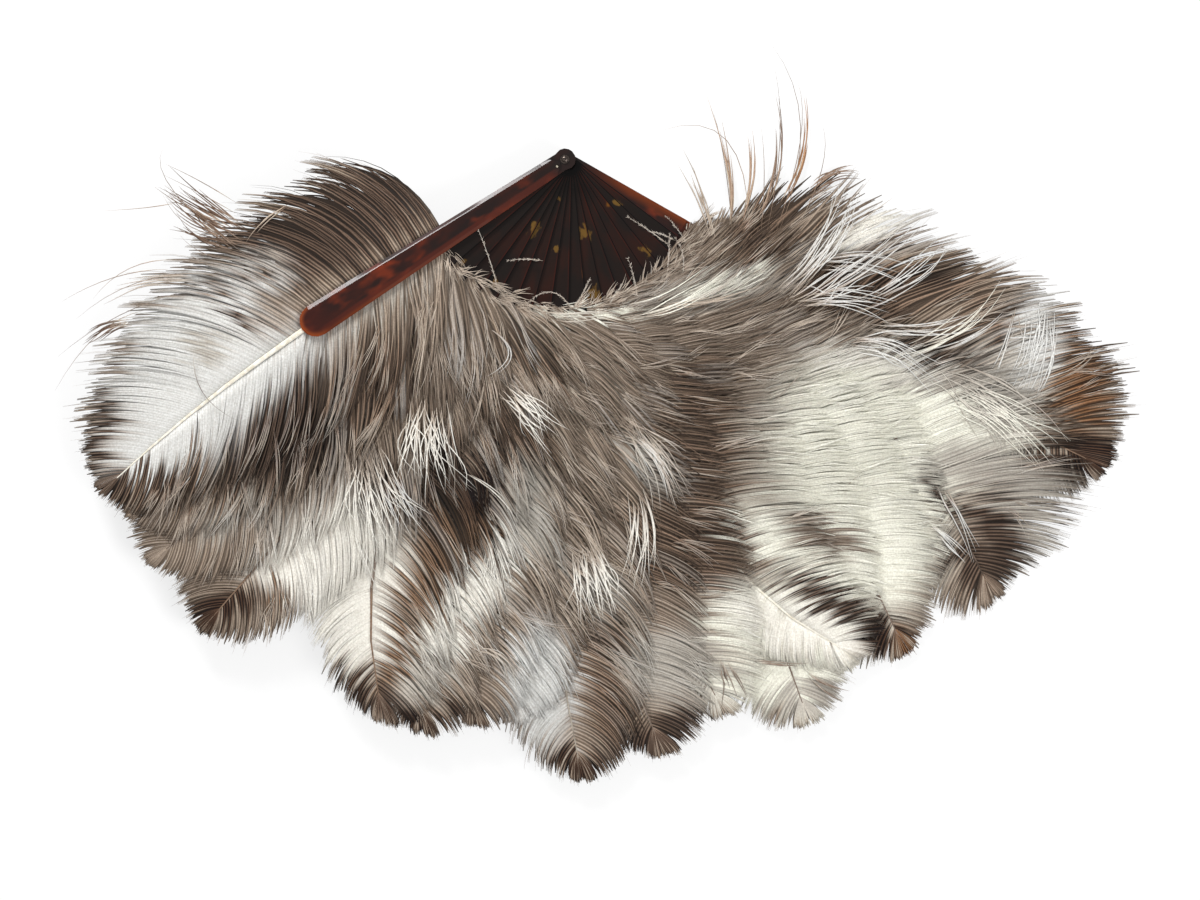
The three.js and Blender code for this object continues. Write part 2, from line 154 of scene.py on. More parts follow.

# Patches of colour across the open fan: shade, centre x + yj, half length and half width in mm, and the
# direction of the length in degrees; a later patch lies over an earlier one
PATCHES = [
    # the front guard's plume, above its quill
    (BROWN, -150-42j, 80, 36, 22), (PALE, -210-80j, 30, 11, 30), (WHITE, -246-140j, 62, 48, 40),
    (WHITE, -230-92j, 50, 17, 26), (UMBER, -214-80j, 32, 5, 24), (BROWN, -203-106j, 9, 8, 60),
    (PALE, -232-122j, 14, 9, 39), (BROWN, -304-180j, 38, 8, 84), (TAUPE, -296-125j, 10, 12, 0),
    # and below it
    (BROWN, -174-168j, 60, 37, 36), (TAUPE, -100-130j, 52, 44, 0), (UMBER, -124-146j, 34, 26, 32),
    (PALE, -116-92j, 42, 6, 31), (WHITE, -218-154j, 84, 18, 33), (WHITE, -252-186j, 40, 15, 14),
    (BROWN, -186-188j, 34, 16, 34), (UMBER, -262-214j, 46, 14, 4), (BROWN, -276-208j, 26, 9, 8),
    # the plumes under its tip
    (TAUPE, -262-244j, 40, 16, 12), (PALE, -204-238j, 34, 14, 0), (TAUPE, -212-258j, 24, 16, 45),
    (DARK, -222-292j, 26, 12, 20), (IVORY, -140-262j, 36, 50, -14), (UMBER, -112-216j, 20, 16, -30),
    (IVORY, -174-262j, 30, 14, 12), (IVORY, -142-304j, 34, 28, 0), (TAN, -184-286j, 12, 6, 0),
    (BROWN, -78-212j, 46, 15, 82), (TAN, -74-260j, 68, 18, 56), (DARK, -50-206j, 34, 12, 62),
    (IVORY, -66-296j, 66, 14, 54), (IVORY, -30-240j, 34, 9, 62), (TAN, -108-322j, 26, 7, 62),
    (BROWN, -130-346j, 30, 9, -25), (DARK, -142-350j, 14, 8, 0), (DARK, -98-366j, 20, 8, 0),
    (PALE, -84-336j, 18, 14, 20), (TAUPE, -60-340j, 14, 16, 0), (BROWN, -62-364j, 24, 7, 0),
    # the middle
    (TAUPE, 5-150j, 84, 50, 0), (UMBER, -20-128j, 26, 12, -30), (UMBER, -30-184j, 32, 20, -40),
    (PALE, -16-232j, 20, 36, 22), (TAUPE, 14-252j, 16, 44, 20), (TAUPE, 40-195j, 30, 44, 20),
    (PALE, 58-200j, 10, 24, 30), (UMBER, 88-178j, 26, 60, 0), (UMBER, 80-240j, 42, 16, -8),
    (UMBER, 80-266j, 46, 14, -8), (PALE, 26-286j, 14, 22, 20), (TAUPE, 60-300j, 34, 12, 10),
    (PALE, 62-318j, 30, 12, 10), (WHITE, -16-342j, 22, 44, 0), (UMBER, 30-340j, 17, 48, 0),
    (DARK, 6-394j, 24, 9, 0), (PALE, 66-328j, 28, 26, 0), (BROWN, 66-372j, 36, 13, 25),
    (PALE, 96-340j, 14, 20, 0),
    # the right side
    (CREAM, 190-190j, 62, 76, 0), (CREAM, 200-250j, 50, 46, 0), (CREAM, 258-170j, 54, 44, 0),
    (PALE, 268-198j, 30, 14, -10), (PALE, 250-144j, 30, 6, -8), (CREAM, 136-254j, 40, 11, -58),
    (TAUPE, 166-243j, 24, 11, -30), (CREAM, 122-300j, 30, 26, 0), (CREAM, 156-344j, 56, 24, 0),
    (PALE, 170-350j, 42, 12, 12), (IVORY, 152-304j, 48, 15, -18), (BROWN, 172-288j, 40, 10, -34),
    (DARK, 206-308j, 13, 12, 0), (RUST, 224-316j, 8, 12, 0), (PALE, 308-232j, 36, 38, 0),
    # the thin brown streak that ends the next line is a painted shadow of a quill
    (BROWN, 336-242j, 9, 26, -12), (BROWN, 284-248j, 36, 16, -82), (BROWN, 248-220j, 26, 4, -50),
    (BROWN, 262-262j, 20, 11, -58), (TAUPE, 130-112j, 60, 14, -5), (UMBER, 208-82j, 70, 28, -8),
    (TAUPE, 262-118j, 34, 20, -30), (IVORY, 204-128j, 50, 10, -6), (TAUPE, 196-118j, 26, 4, 0),
    (PALE, 286-140j, 20, 44, 0), (BROWN, 248-122j, 34, 8, -10), (UMBER, 286-104j, 24, 10, -28),
    (PALE, 160-66j, 30, 4, 46), (BROWN, 216-78j, 50, 5, 6), (WHITE, 311-114j, 15, 34, 0),
    (TAN, 345-132j, 20, 46, 0), (RUST, 342-152j, 14, 24, 0), (DARK, 342-192j, 26, 16, 0),
    (BROWN, 312-190j, 13, 10, 30), (UMBER, 316-166j, 30, 5, 76),
    # the tuft above the rear guard
    (TAUPE, 142-38j, 50, 34, 20), (UMBER, 136-34j, 44, 12, 34), (UMBER, 134-58j, 30, 8, 15),
    (IVORY, 204-42j, 30, 9, 24), (PALE, 96-84j, 46, 11, 10), (CREAM, 104-80j, 28, 5, 14),
    (CREAM, 16-101j, 36, 3, 0),
]

# Plumes: how a barb stands off its quill, from the base (0) to the tip (1), and how far it curls to the tip
LEAN_AT = [0, 0.12, 0.3, 0.55, 0.8, 0.93, 0.98, 1]
LEAN_DEG = [104, 98, 92, 84, 76, 66, 52, 2]
CURL_DEG = [14, 18, 24, 28, 30, 28, 20, 0]
CROWDING_AT = [0, 0.55, 0.88, 1]  # share of the barbs, and of the quill that carries them
CROWDING_SHARE = [0, 0.7, 0.985, 1]
PLUMES_AT = [0, 3, 7, 9, 12, 17]  # index of a plume, with what its barbs lean less and curl more
LEAN_SHIFT_DEG = [-6, 0, -4, -24, -28, -38]
LEAN_SHIFT_LEFT = [0, 0, 0, 0, 0.1, 0.6]  # share of it that is left at the tip
CURL_TIMES = [1, 1, 1, 1.9, 1.5, 1]
LOOSENESS = [1, 0.55, 0.45, 0.85, 1, 0.9]  # how far its barbs part and lie askew
# The front guard's free side
OUTER_LEAN_DEG = [100, 94, 80, 64, 56, 50, 40, 2]
OUTER_CURL_DEG = [62, 62, 48, 36, 26, 18, 12, 0]
# The rear guard's free side, which is a tuft
TUFT_AT = [0, 0.06, 0.13, 0.24, 0.38, 0.6, 0.85, 1]
TUFT_LEAN_DEG = [128, 112, 98, 86, 74, 66, 56, 4]
TUFT_CURL_DEG = [14, 22, 28, 34, 34, 32, 24, 0]
TUFT_LENGTH = [8, 26, 78, 96, 112, 140, 170, 170]  # in mm at most, but for flyaways
TUFT_REACH = [1, 1, 1, 1, 1, 1.14, 1.18, 1]  # of the length that ends on the outline
FRINGED = 1  # index of the plume with a long fringe on the side towards the tuft
FRINGE_AT = [0.5, 0.66, 0.78, 0.9, 0.97, 1]
FRINGE_REACH = [1, 1.9, 2.1, 1.8, 1.2, 1]

# Single thin strands that stand off the plumes or lie on them, by three places x + yj in mm
STRAYS = [
    # above the rear guard
    [109-45j, 106+0j, 97+32j], [132-45j, 146+20j, 137+60j], [140-45j, 170+30j, 135+76j],
    [138-45j, 162+22j, 152+52j], [120-45j, 120+40j, 62+20j], [128-45j, 132-4j, 128+22j],
    [150-46j, 176+0j, 168+24j],
    # beyond the front guard's plume
    [-201-66j, -272-16j, -259+6j], [-212-29j, -237-13j, -258-4j], [-250-29j, -267-33j, -298-34j],
    [-230-75j, -280-72j, -316-104j], [-240-85j, -290-96j, -328-128j], [-206-62j, -240-60j, -251-33j],
    [-202-66j, -234-68j, -248-50j], [-212-36j, -236-22j, -259-11j], [-216-42j, -242-38j, -256-18j],
    [-214-50j, -246-52j, -259-24j], [-99-38j, -128-10j, -160+3j], [-250-66j, -284-64j, -305-91j],
    [-256-72j, -292-72j, -326-93j], [-270-98j, -304-104j, -330-150j],
    # on the plumes
    [-239-125j, -242-155j, -212-169j], [156-137j, 146-146j, 134-160j], [201-197j, 172-219j, 169-237j],
]

# Downy strands that lie over the sticks
DOWNY_STRAYS = [
    [-43-86j, -47-66j, -61-34j], [-14-66j, -26-64j, -38-66j], [69-56j, 57-46j, 40-36j],
    [72-52j, 62-46j, 55-46j], [84-64j, 78-48j, 66-36j], [47-92j, 46-76j, 41-64j], [66-80j, 68-60j, 68-47j],
    [76-76j, 80-62j, 72-50j], [5-98j, -8-76j, -25-94j], [5-97j, 12-88j, 16-77j], [27-98j, 31-89j, 37-81j],
]

# Locks of strands on top of the plumes: three places, the strands and their spread in mm, and the shade
LOCKS = [
    # the front guard's plume
    ([-205-48j, -230-36j, -256-15j], 20, 6, DARK), ([-210-58j, -236-48j, -256-32j], 16, 7, DARK),
    ([-175-29j, -195-40j, -205-56j], 4, 1, TAUPE), ([-236-80j, -270-76j, -318-96j], 7, 4, PALE),
    ([-280-106j, -298-108j, -313-122j], 12, 4, DARK),
    # the middle
    ([-88-156j, -90-186j, -86-216j], 34, 17, IVORY), ([-130-190j, -124-222j, -110-254j], 32, 16, IVORY),
    ([-40-148j, -24-164j, -6-186j], 22, 10, IVORY), ([-50-109j, -16-130j, -62-147j], 3, 1, WHITE),
    ([-68-201j, -44-212j, -33-229j], 3, 1, IVORY), ([44-176j, 62-192j, 72-224j], 28, 11, PALE),
    ([44-182j, 60-194j, 66-220j], 10, 6, WHITE), ([46-212j, 55-240j, 46-276j], 18, 8, IVORY),
    ([12-252j, 20-276j, 30-302j], 34, 12, IVORY), ([-116-204j, -106-224j, -94-242j], 16, 8, WHITE),
    ([-60-318j, -36-318j, -36-346j], 8, 3, PALE),
    # the lower right
    ([101-324j, 108-336j, 113-354j], 8, 5, BROWN), ([120-324j, 139-329j, 160-327j], 6, 2, BROWN),
    ([155-332j, 172-346j, 184-350j], 6, 3, BROWN),
    # the wisps above the rear guard
    ([96-50j, 90-24j, 74+6j], 9, 3, TAUPE), ([108-42j, 112-8j, 97+36j], 8, 2, UMBER),
    ([114-40j, 126-12j, 120+20j], 8, 2, UMBER), ([126-38j, 146-4j, 137+38j], 9, 2, BROWN),
    ([140-30j, 162+2j, 157+38j], 9, 2, RUST), ([160-20j, 180-2j, 196-10j], 10, 4, BROWN),
    # the upper right
    ([142-88j, 174-58j, 190-16j], 20, 7, WHITE), ([146-94j, 190-78j, 228-38j], 16, 8, WHITE),
    ([162-68j, 190-60j, 222-74j], 12, 6, WHITE), ([187-94j, 222-86j, 250-50j], 8, 6, WHITE),
    ([213-125j, 256-120j, 281-82j], 9, 6, CREAM), ([150-90j, 180-84j, 214-96j], 12, 7, WHITE),
    ([185-120j, 215-116j, 250-146j], 14, 8, WHITE), ([198-108j, 245-116j, 283-100j], 9, 5, WHITE),
    ([231-126j, 270-122j, 292-98j], 5, 3, WHITE), ([300-92j, 300-130j, 276-166j], 6, 12, WHITE),
    ([314-92j, 316-126j, 294-162j], 13, 10, WHITE), ([246-136j, 290-150j, 312-196j], 22, 17, PALE),
    ([252-152j, 292-164j, 318-200j], 22, 13, CREAM), ([240-204j, 254-224j, 266-254j], 6, 4, WHITE),
    ([237-237j, 252-248j, 265-265j], 6, 4, WHITE),
    # along the base
    ([-24-99j, 6-104j, 40-100j], 5, 4, PALE), ([36-100j, 70-98j, 100-74j], 8, 7, CREAM),
    ([76-92j, 100-88j, 128-62j], 9, 8, PALE), ([60-96j, 90-98j, 124-88j], 6, 4, TAUPE),
]

# Amber spots in the sticks: centre in mm with the fan open, half length and half width in mm
AMBER_SPOTS = [
    (-20-45j, 6, 3), (13-47j, 5, 4), (-6-58j, 2, 2), (34-27j, 3, 2), (-4-25j, 2, 1.5), (20-89j, 7, 4),
    (-66-67j, 3, 2), (-45-80j, 3, 2), (52-58j, 4, 2.5),
]

# Quills: how far each one shows, from its tip in mm, with the shades of its horn; the others stay hidden
CREAM_HORN = (shade(238, 234, 222), shade(212, 204, 184))
BROWN_HORN = (shade(140, 116, 96), shade(104, 84, 70))
GREY_HORN = (shade(172, 164, 152), shade(124, 114, 102))
DARK_HORN = (shade(104, 90, 80), shade(66, 56, 48))
HIDDEN_HORN = (shade(128, 112, 100), shade(104, 90, 80))
QUILLS_SHOWN = {
    17: (260, CREAM_HORN), 14: (60, BROWN_HORN), 13: (64, BROWN_HORN), 9: (96, GREY_HORN),
    6: (80, CREAM_HORN), 1: (104, DARK_HORN), 0: (40, BROWN_HORN),
}
HIDDEN_QUILL = (8, HIDDEN_HORN)
HORN_FADE = 10 * MM  # to both sides of where a quill comes out

# Shell: waves of its noise to a metre, along and across, and ramps, which give two distances and their covers
FINE_WAVES = 900
CLOUD_WAVES = (30, 60)
FLECK_WAVES = (70, 130)
GRAIN_WAVES = (260, 420)
STICK_BLACK = shade(24, 19, 17)
STICK_RED = shade(40, 20, 15)
STICK_FLECK = shade(120, 76, 22)
STICK_AMBER = shade(100, 74, 32)
STICK_GLOW = shade(56, 20, 12)
# painted shade of the gap between sticks, a near-black line along each edge
STICK_GAP_SHADE = shade(7, 5, 5)
STICK_GLOW_RAMP = (0.5 * MM, 1.6 * MM, 0.8, 0)  # from the edge
STICK_GAP_SHADE_RAMP = (0.45 * MM, 0.7 * MM, 1.0, 0)
GUARD_CLOUD_WAVES = (26, 60)
GUARD_GLOW_WAVES = (60, 110)
GUARD_BLACK = shade(28, 17, 15)
GUARD_RED = shade(56, 22, 14)
GUARD_GLOW = shade(124, 46, 19)
GUARD_BEVEL = shade(80, 30, 18)
GUARD_AMBER = shade(100, 43, 14)
GUARD_END = shade(60, 20, 12)
GUARD_RIM = shade(140, 64, 24)
GUARD_HEAD = shade(24, 20, 19)
SIDE_RAMP = (0.0, 1 * MM)  # from the middle
BEVEL_RAMP = (3.6 * MM, 5.2 * MM, 0.6, 0)  # from the edge
RIM_RAMP = (0.2 * MM, 4 * MM, 0.8, 0)
POLISH_RAMP = (1.6 * MM, 2.2 * MM, 1.0, 0)
HEAD_RAMP = (5 * MM, 16 * MM, 0.9, 0)  # from the rivet
WORN_FROM = (52 * MM, 75 * MM)
WORN_TO = (140 * MM, 165 * MM, 1.0, 0)
END_RAMP = (GUARD_LENGTH - 34 * MM, GUARD_LENGTH - 8 * MM, 0.0, 0.6)
RIM_FROM = (184 * MM, 199 * MM)
GUARDS = {  # side of the red bevel, seed, and width and full reach of the amber edge
    "rear_guard": (-1, 3.1, 8 * MM, 50 * MM),
    "front_guard": (1, 8.4, 3 * MM, 200 * MM),
}

# Floor, light and camera
FLOOR_HALF = 4.0
FLOOR_DEPTH = 0.3 * MM
FLOOR_LEVEL = 0.9
FLOOR_GLOW = (0.5, 1.2, 0.75, 1.0)  # a ramp from the rivet to plain white
WORLD_LEVEL = 0.54
KEY_LAMP = ((-0.67, 1.33, 0.86), 0.55, 35)  # place, size and power
FILL_LAMP = ((1.2, -1.0, 1.4), 1.0, 24)
CENTRE = (22.75 * MM, -188.5 * MM)  # middle of the picture
PICTURE_WIDTH = 780 * MM
PICTURE_HEIGHT_Z = 15 * MM  # where it has that width
CAMERA_DISTANCE = 2.4
SENSOR = 36.0


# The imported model's quills and plumes

def rows_of(name, direction):
    """A node's rows of points round the rivet: radius, lowest and highest angle, and limits of z."""
    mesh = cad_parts[name].data
    points = np.empty(3 * len(mesh.vertices))
    mesh.vertices.foreach_get("co", points)
    x, y, z = points.reshape(-1, 3).T
    radius = np.round(np.hypot(x, y), 5)
    angle = np.angle((x + 1j * y) * np.exp(-1j * direction))
    radii = np.unique(radius)
    limits = [[f(values[radius == r]) for r in radii] for values in (angle, z) for f in (np.min, np.max)]
    low, high, floor, top = np.array(limits)
    return SimpleNamespace(
        radius=radii, low=low, high=high,
        floor=lambda reach: np.interp(reach, radii, floor), top=lambda reach: np.interp(reach, radii, top),
    )


def feather_of(index):
    """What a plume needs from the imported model: its direction, quill line, outline and heights."""
    points = [vertex.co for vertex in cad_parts[f"quill_{index:02d}"].data.vertices]
    nearest = min(points, key=lambda co: co.xy.length)
    direction = math.atan2(nearest.y, nearest.x)
    quill = rows_of(f"quill_{index:02d}", direction)
    vane = rows_of(f"plume_{index:02d}", direction)
    bodies = {0: "rear_guard", LAST: "front_guard"}
    return SimpleNamespace(
        index=index, direction=direction, quill=quill, vane=vane,
        body=bodies.get(index, f"stick_{index:02d}"),
        name=f"plume_{index:02d}", random=np.random.default_rng(SEED + index),
        first=vane.radius[0], last=quill.radius[-1], above=None,
    )


def quill_angle(feather, radius):
    middle = (feather.quill.low + feather.quill.high) / 2
    return np.interp(radius, feather.quill.radius, middle)


def quill_heading(feather, radius):
    """The quill's direction at this radius, from the plume's own."""
    step = 1 * MM
    before = radius * np.exp(1j * quill_angle(feather, radius))
    after = (radius + step) * np.exp(1j * quill_angle(feather, radius + step))
    return np.angle(after - before)


def half_width(feather, radius, side):
    """Width of the plume's outline on one side of its quill."""
    edge = feather.vane.high if side > 0 else feather.vane.low
    width = np.abs(edge - quill_angle(feather, feather.vane.radius)) * feather.vane.radius
    return np.interp(radius, feather.vane.radius, width, right=0)


def top_index(feathers, place):
    """Index of the uppermost plume at a place, or else of the one whose quill is nearest."""
    gaps = []
    for feather in reversed(feathers):
        local = place * np.exp(-1j * feather.direction)
        radius = abs(local)
        across = (np.angle(local) - quill_angle(feather, radius)) * radius
        if abs(across) < half_width(feather, radius, 1 if across > 0 else -1):
            return feather.index
        gaps.append((abs(across), feather.index))
    return min(gaps)[1]


# Barbs

ALONG = np.linspace(0, 1, RINGS)


def is_free(feather, side):
    """True for the two sides that no other plume lies over or under."""
    return (feather.index, side) in ((0, 1), (LAST, -1))


def is_tuft(feather, side):
    return feather.index == 0 and side > 0


def barb_starts(feather, side, spacing):
    """Places on the quill, a little unsettled: share of its length, radius and line."""
    length = feather.last - feather.first
    count = int(length / spacing * (FREE_SIDE_FILL if is_free(feather, side) else 1))
    even = (np.arange(count) + feather.random.uniform(-0.4, 0.4, count)) / count
    share = np.interp(even, CROWDING_AT, CROWDING_SHARE)
    order = length / LINE_SPACING * np.log1p(LINE_GROWTH * np.maximum(even, 0)) / LINE_GROWTH
    return share, feather.first + share * length, order


def lean_and_curl(feather, side, share):
    """How far each barb leans off the quill, and turns back to it at its tip."""
    if is_tuft(feather, side):
        return np.interp(share, TUFT_AT, TUFT_LEAN_DEG), np.interp(share, TUFT_AT, TUFT_CURL_DEG)
    if is_free(feather, side):
        return np.interp(share, LEAN_AT, OUTER_LEAN_DEG), np.interp(share, LEAN_AT, OUTER_CURL_DEG)
    left = np.interp(feather.index, PLUMES_AT, LEAN_SHIFT_LEFT)
    shift = np.interp(feather.index, PLUMES_AT, LEAN_SHIFT_DEG) * (1 - share * (1 - left))
    curl = np.interp(share, LEAN_AT, CURL_DEG) * np.interp(feather.index, PLUMES_AT, CURL_TIMES)
    return np.maximum(np.interp(share, LEAN_AT, LEAN_DEG) + shift, LEAN_DEG[-1]), curl


def looseness(feather):
    return np.interp(feather.index, PLUMES_AT, LOOSENESS)


def near_base(share, run):
    """From 1 where a plume begins to 0 at this share of its quill."""
    return np.clip(1 - share / run, 0, 1)


def groups_of(random, order, size):
    """Each barb's group of about this many lines, and its nearness to the middle, 0 to 1."""
    count = int(order.max() / size) + 4
    edges = (np.arange(count) - 1 + random.uniform(-0.3, 0.3, count)) * size
    group = np.searchsorted(edges, order)
    place = (order - edges[group - 1]) / (edges[group] - edges[group - 1])
    return np.unique(group, return_inverse=True)[1], 1 - np.abs(2 * place - 1)


def group_values(random, group, spread):
    """One random value around 0 for all the barbs of a group."""
    return random.normal(0, spread, group.max() + 1)[group]


def group_shares(random, group, low, high):
    """One random share for all the barbs of a group."""
    return random.uniform(low, high, group.max() + 1)[group]


def fitted_length(feather, side, root, reach_per_length):
    """The length at which each barb ends on the outline, found by halving."""
    short = np.full(len(root), SHORTEST_BARB)
    long = np.full(len(root), LONGEST_BARB)
    for _ in range(TRIM_STEPS):
        length = (short + long) / 2
        tip = root + length * reach_per_length
        radius = np.abs(tip)
        across = side * (np.angle(tip) - quill_angle(feather, radius)) * radius
        inside = (np.abs(across) <= half_width(feather, radius, side)) & (radius <= feather.vane.radius[-1])
        short = np.where(inside, length, short)
        long = np.where(inside, long, length)
    return short


def drawn_together(paths, group, pull, power):
    """Draws the barbs of a line or lock together towards their tips."""
    count = np.bincount(group)[:, None]
    total = np.zeros((len(count), paths.shape[1]), dtype=complex)
    np.add.at(total, group, paths)
    middle = (total / count)[group]
    return paths + pull[:, None] * ALONG ** power * (middle - paths)


def barb_turns(feather, side, share, line, lock, loose):
    """The turn of each stretch of each barb from its quill: leaning, curling and a little wavy."""
    random = feather.random
    lean, curl = lean_and_curl(feather, side, share)
    stray = group_values(random, lock, LOCK_LEAN_DEG) + group_values(random, line, LINE_LEAN_DEG)
    lean += stray * loose
    lean += near_base(share, BASE_SHARE) * group_values(random, line, BASE_LEAN_DEG) * loose
    curl *= 1 + group_values(random, lock, CURL_STRAY) * loose
    middle = (ALONG[1:] + ALONG[:-1]) / 2
    swing = group_values(random, lock, WAVE_DEG) * loose
    phase = group_shares(random, lock, 0, 1)
    wave = swing[:, None] * np.sin(2 * math.pi * (middle + phase[:, None]))
    ripple = group_values(random, line, RIPPLE_DEG)[:, None] * np.sin(3 * math.pi * (middle + phase[:, None]))
    return np.radians(lean[:, None] - curl[:, None] * middle ** 1.2 + wave + ripple * loose[:, None])


def barb_lengths(feather, side, share, fitted, line, lock, loose):
    """Lengths that end raggedly near the outline, longer at the base."""
    random = feather.random
    length = fitted
    ragged = RAGGED
    if side > 0:
        base = near_base(share, BASE_SHARE) * group_shares(random, line, 0.3, 1) * BASE_BARB
        length = np.maximum(length, base)
    if is_tuft(feather, side):
        flies = random.uniform(0, 1, len(share)) < FLYAWAYS
        length *= np.interp(share, TUFT_AT, TUFT_REACH)
        length = np.where(flies, length, np.minimum(length, np.interp(share, TUFT_AT, TUFT_LENGTH) * MM))
        ragged = RAGGED + TUFT_RAGGED * near_base(share, TUFT_RAGGED_RUN)
    if feather.index == FRINGED and side > 0:
        length *= np.interp(share, FRINGE_AT, FRINGE_REACH)
    length *= LONGEST_SHARE - ragged * group_shares(random, line, 0, 1)
    length *= np.where(random.uniform(0, 1, len(share)) < FRINGE_SHARE, FRINGE_TIMES, 1)
    return length * (1 + group_values(random, lock, LENGTH_STRAY) * loose)


def barb_paths(feather, side, share, radius, line, lock, loose):
    """Each barb's way to the outline, in the plume's own direction."""
    turn = barb_turns(feather, side, share, line, lock, loose)
    steps = np.exp(1j * (quill_heading(feather, radius)[:, None] + side * turn)) / (RINGS - 1)
    root = radius * np.exp(1j * quill_angle(feather, radius))
    fitted = fitted_length(feather, side, root, steps.sum(axis=1))
    length = barb_lengths(feather, side, share, fitted, line, lock, loose)
    run = np.concatenate([np.zeros((len(share), 1)), np.cumsum(steps, axis=1)], axis=1)
    return root[:, None] + length[:, None] * run


def layer_floor(feather, paths):
    return np.maximum(feather.vane.floor(np.abs(paths)), LOWEST)


def headroom(feather, paths):
    """Free height over a plume's layer: none between the sticks, up to the next plume beyond them."""
    reach = np.abs(paths)
    free = TOP_PUFF
    if feather.above:
        free = feather.above.floor(reach) - feather.vane.top(reach) - LAYER_MARGIN
    return np.clip((reach - CLEAR_RADIUS) / PUFF_RUN, 0, 1) * np.maximum(free, 0)


def barb_heights(feather, paths, nearness, lock):
    """Heights in the plume's layer, lock over lock, puffed up beyond the sticks."""
    random = feather.random
    floor = layer_floor(feather, paths)
    room = np.maximum(feather.vane.top(np.abs(paths)) - BARB_HEIGHT - floor, LAYER_MARGIN)
    lift = group_shares(random, lock, *LOCK_LIFT) + random.uniform(0, 0.1, len(lock))
    lift += RIDGE_LIFT * nearness
    puff = group_shares(random, lock, 0, LOCK_PUFF)[:, None] * ALONG * headroom(feather, paths)
    return floor + lift[:, None] * room + puff


def taper(tip, power):
    """Thickness along a strand, from 1 at its root to this share at its tip."""
    return tip + (1 - tip) * (1 - ALONG ** power)


def strands(paths, height, width, rise, thickness, line, lock, nearness, whitened):
    """Strands by their paths in plan, heights and groups, all thinned alike."""
    width, rise = [np.outer(size * np.ones(len(paths)), thickness) for size in (width, rise)]
    return SimpleNamespace(paths=paths, height=height, width=width, rise=rise, line=line, lock=lock,
                           nearness=nearness, whitened=whitened)


def vane_barbs(feather, side):
    """The barbs on one side of a quill, in lines and locks."""
    random = feather.random
    share, radius, order = barb_starts(feather, side, BARB_SPACING)
    line, nearness = groups_of(random, order, 1)
    lock, _ = groups_of(random, order, LOCK_LINES)
    loose = (1 - share) * looseness(feather) * (SLEEK if feather.index == LAST and side < 0 else 1)
    paths = barb_paths(feather, side, share, radius, line, lock, loose)
    paths = drawn_together(paths, line, group_shares(random, line, *LINE_PULL) * (0.4 + 0.6 * loose), 1)
    paths = drawn_together(paths, lock, group_shares(random, lock, 0, LOCK_PULL) * loose, 2)
    width = BARB_HALF * random.uniform(0.85, 1.1, len(share)) * (1.15 - 0.35 * nearness)
    height = barb_heights(feather, paths, nearness, lock)
    whitened = np.where(group_shares(random, lock, 0, 1) < PALE_TIPPED, PALE_TIP, 0) * loose
    return strands(paths * np.exp(1j * feather.direction), height, width, BARB_HEIGHT, taper(*BARB_TAPER),
                   line, lock, nearness, whitened)


def vane_ground(feather, side):
    """Broad strands under the barbs of one side, which close the plume: a dark sheet of painted shade."""
    share, radius, _ = barb_starts(feather, side, GROUND_SPACING)
    each = np.arange(len(share))
    # no middle to their lines, so barb_colours gives them the darkest painted shade
    none = np.zeros(len(share))
    paths = barb_paths(feather, side, share, radius, each, each, none)
    paths = paths[:, :1] + GROUND_REACH * (paths - paths[:, :1])
    return strands(paths * np.exp(1j * feather.direction), layer_floor(feather, paths), GROUND_HALF,
                   GROUND_HEIGHT, taper(*GROUND_TAPER), each, each, none, none)


# Loose strands

def curve(points, run):
    """Places along a bend from the first point to the last, drawn aside by the middle one."""
    start, middle, end = [point * MM for point in points]
    return (1 - run) ** 2 * start + 2 * run * (1 - run) * middle + run ** 2 * end


def bundle_paths(random, points, count, spread):
    """Strands that follow one curve side by side, each with its own length."""
    chord = points[-1] - points[0]
    sideways = 1j * chord / abs(chord) * spread * MM
    paths = []
    for _ in range(count):
        run = random.uniform(0, 0.3) + ALONG * random.uniform(0.45, 0.85)
        stray = random.normal(0, 0.3) * ALONG ** 2
        stray += random.uniform(-1, 1) * (0.75 + 0.6 * ALONG)
        swing = random.normal(0, 0.16)
        stray += swing * np.sin(math.pi * (random.uniform(1, 2.2) * ALONG + random.uniform(0, 1)))
        paths.append(curve(points, run) + stray * sideways)
    return np.array(paths)


def askew_lock(random, root, heading, length):
    """A small lock from a place in mm, turning a little to one side."""
    toward = np.exp(1j * heading)
    turned = toward * np.exp(1j * math.radians(random.normal(-6, 16)))
    points = (root, root + toward * length / 2, root + (toward + turned) * length / 2)
    return bundle_paths(random, points, FLUFF_STRANDS, FLUFF_SPREAD)


def base_wisps(feather):
    """Small locks over the neighbouring sticks where a plume begins."""
    random = feather.random
    locks = []
    for _ in range(BASE_WISPS):
        radius = feather.first + random.uniform(0, 8) * MM
        angle = feather.direction + quill_angle(feather, radius)
        angle += math.radians(random.uniform(3, 7))
        heading = feather.direction + math.radians(random.uniform(60, 150))
        root = radius / MM * np.exp(1j * angle)
        locks.append(askew_lock(random, root, heading, random.uniform(8, 20)))
    return np.concatenate(locks)


def fluff_paths(feather, barbs):
    """Small locks that have come loose from a plume's barbs."""
    random = feather.random
    locks = []
    count = int(FLUFF_LOCKS * looseness(feather))
    for barb in random.choice(len(barbs.paths) * 3 // 4, count, replace=False):
        ring = random.integers(RINGS // 3, RINGS * 2 // 3)
        root = barbs.paths[barb, ring] / MM
        heading = np.angle(barbs.paths[barb, ring + 1] - barbs.paths[barb, ring])
        length = min(random.uniform(18, 60), 1.25 * abs(barbs.paths[barb, -1] / MM - root))
        heading += math.radians(random.normal(0, 9))
        locks.append(askew_lock(random, root, heading, length))
    return np.concatenate(locks)


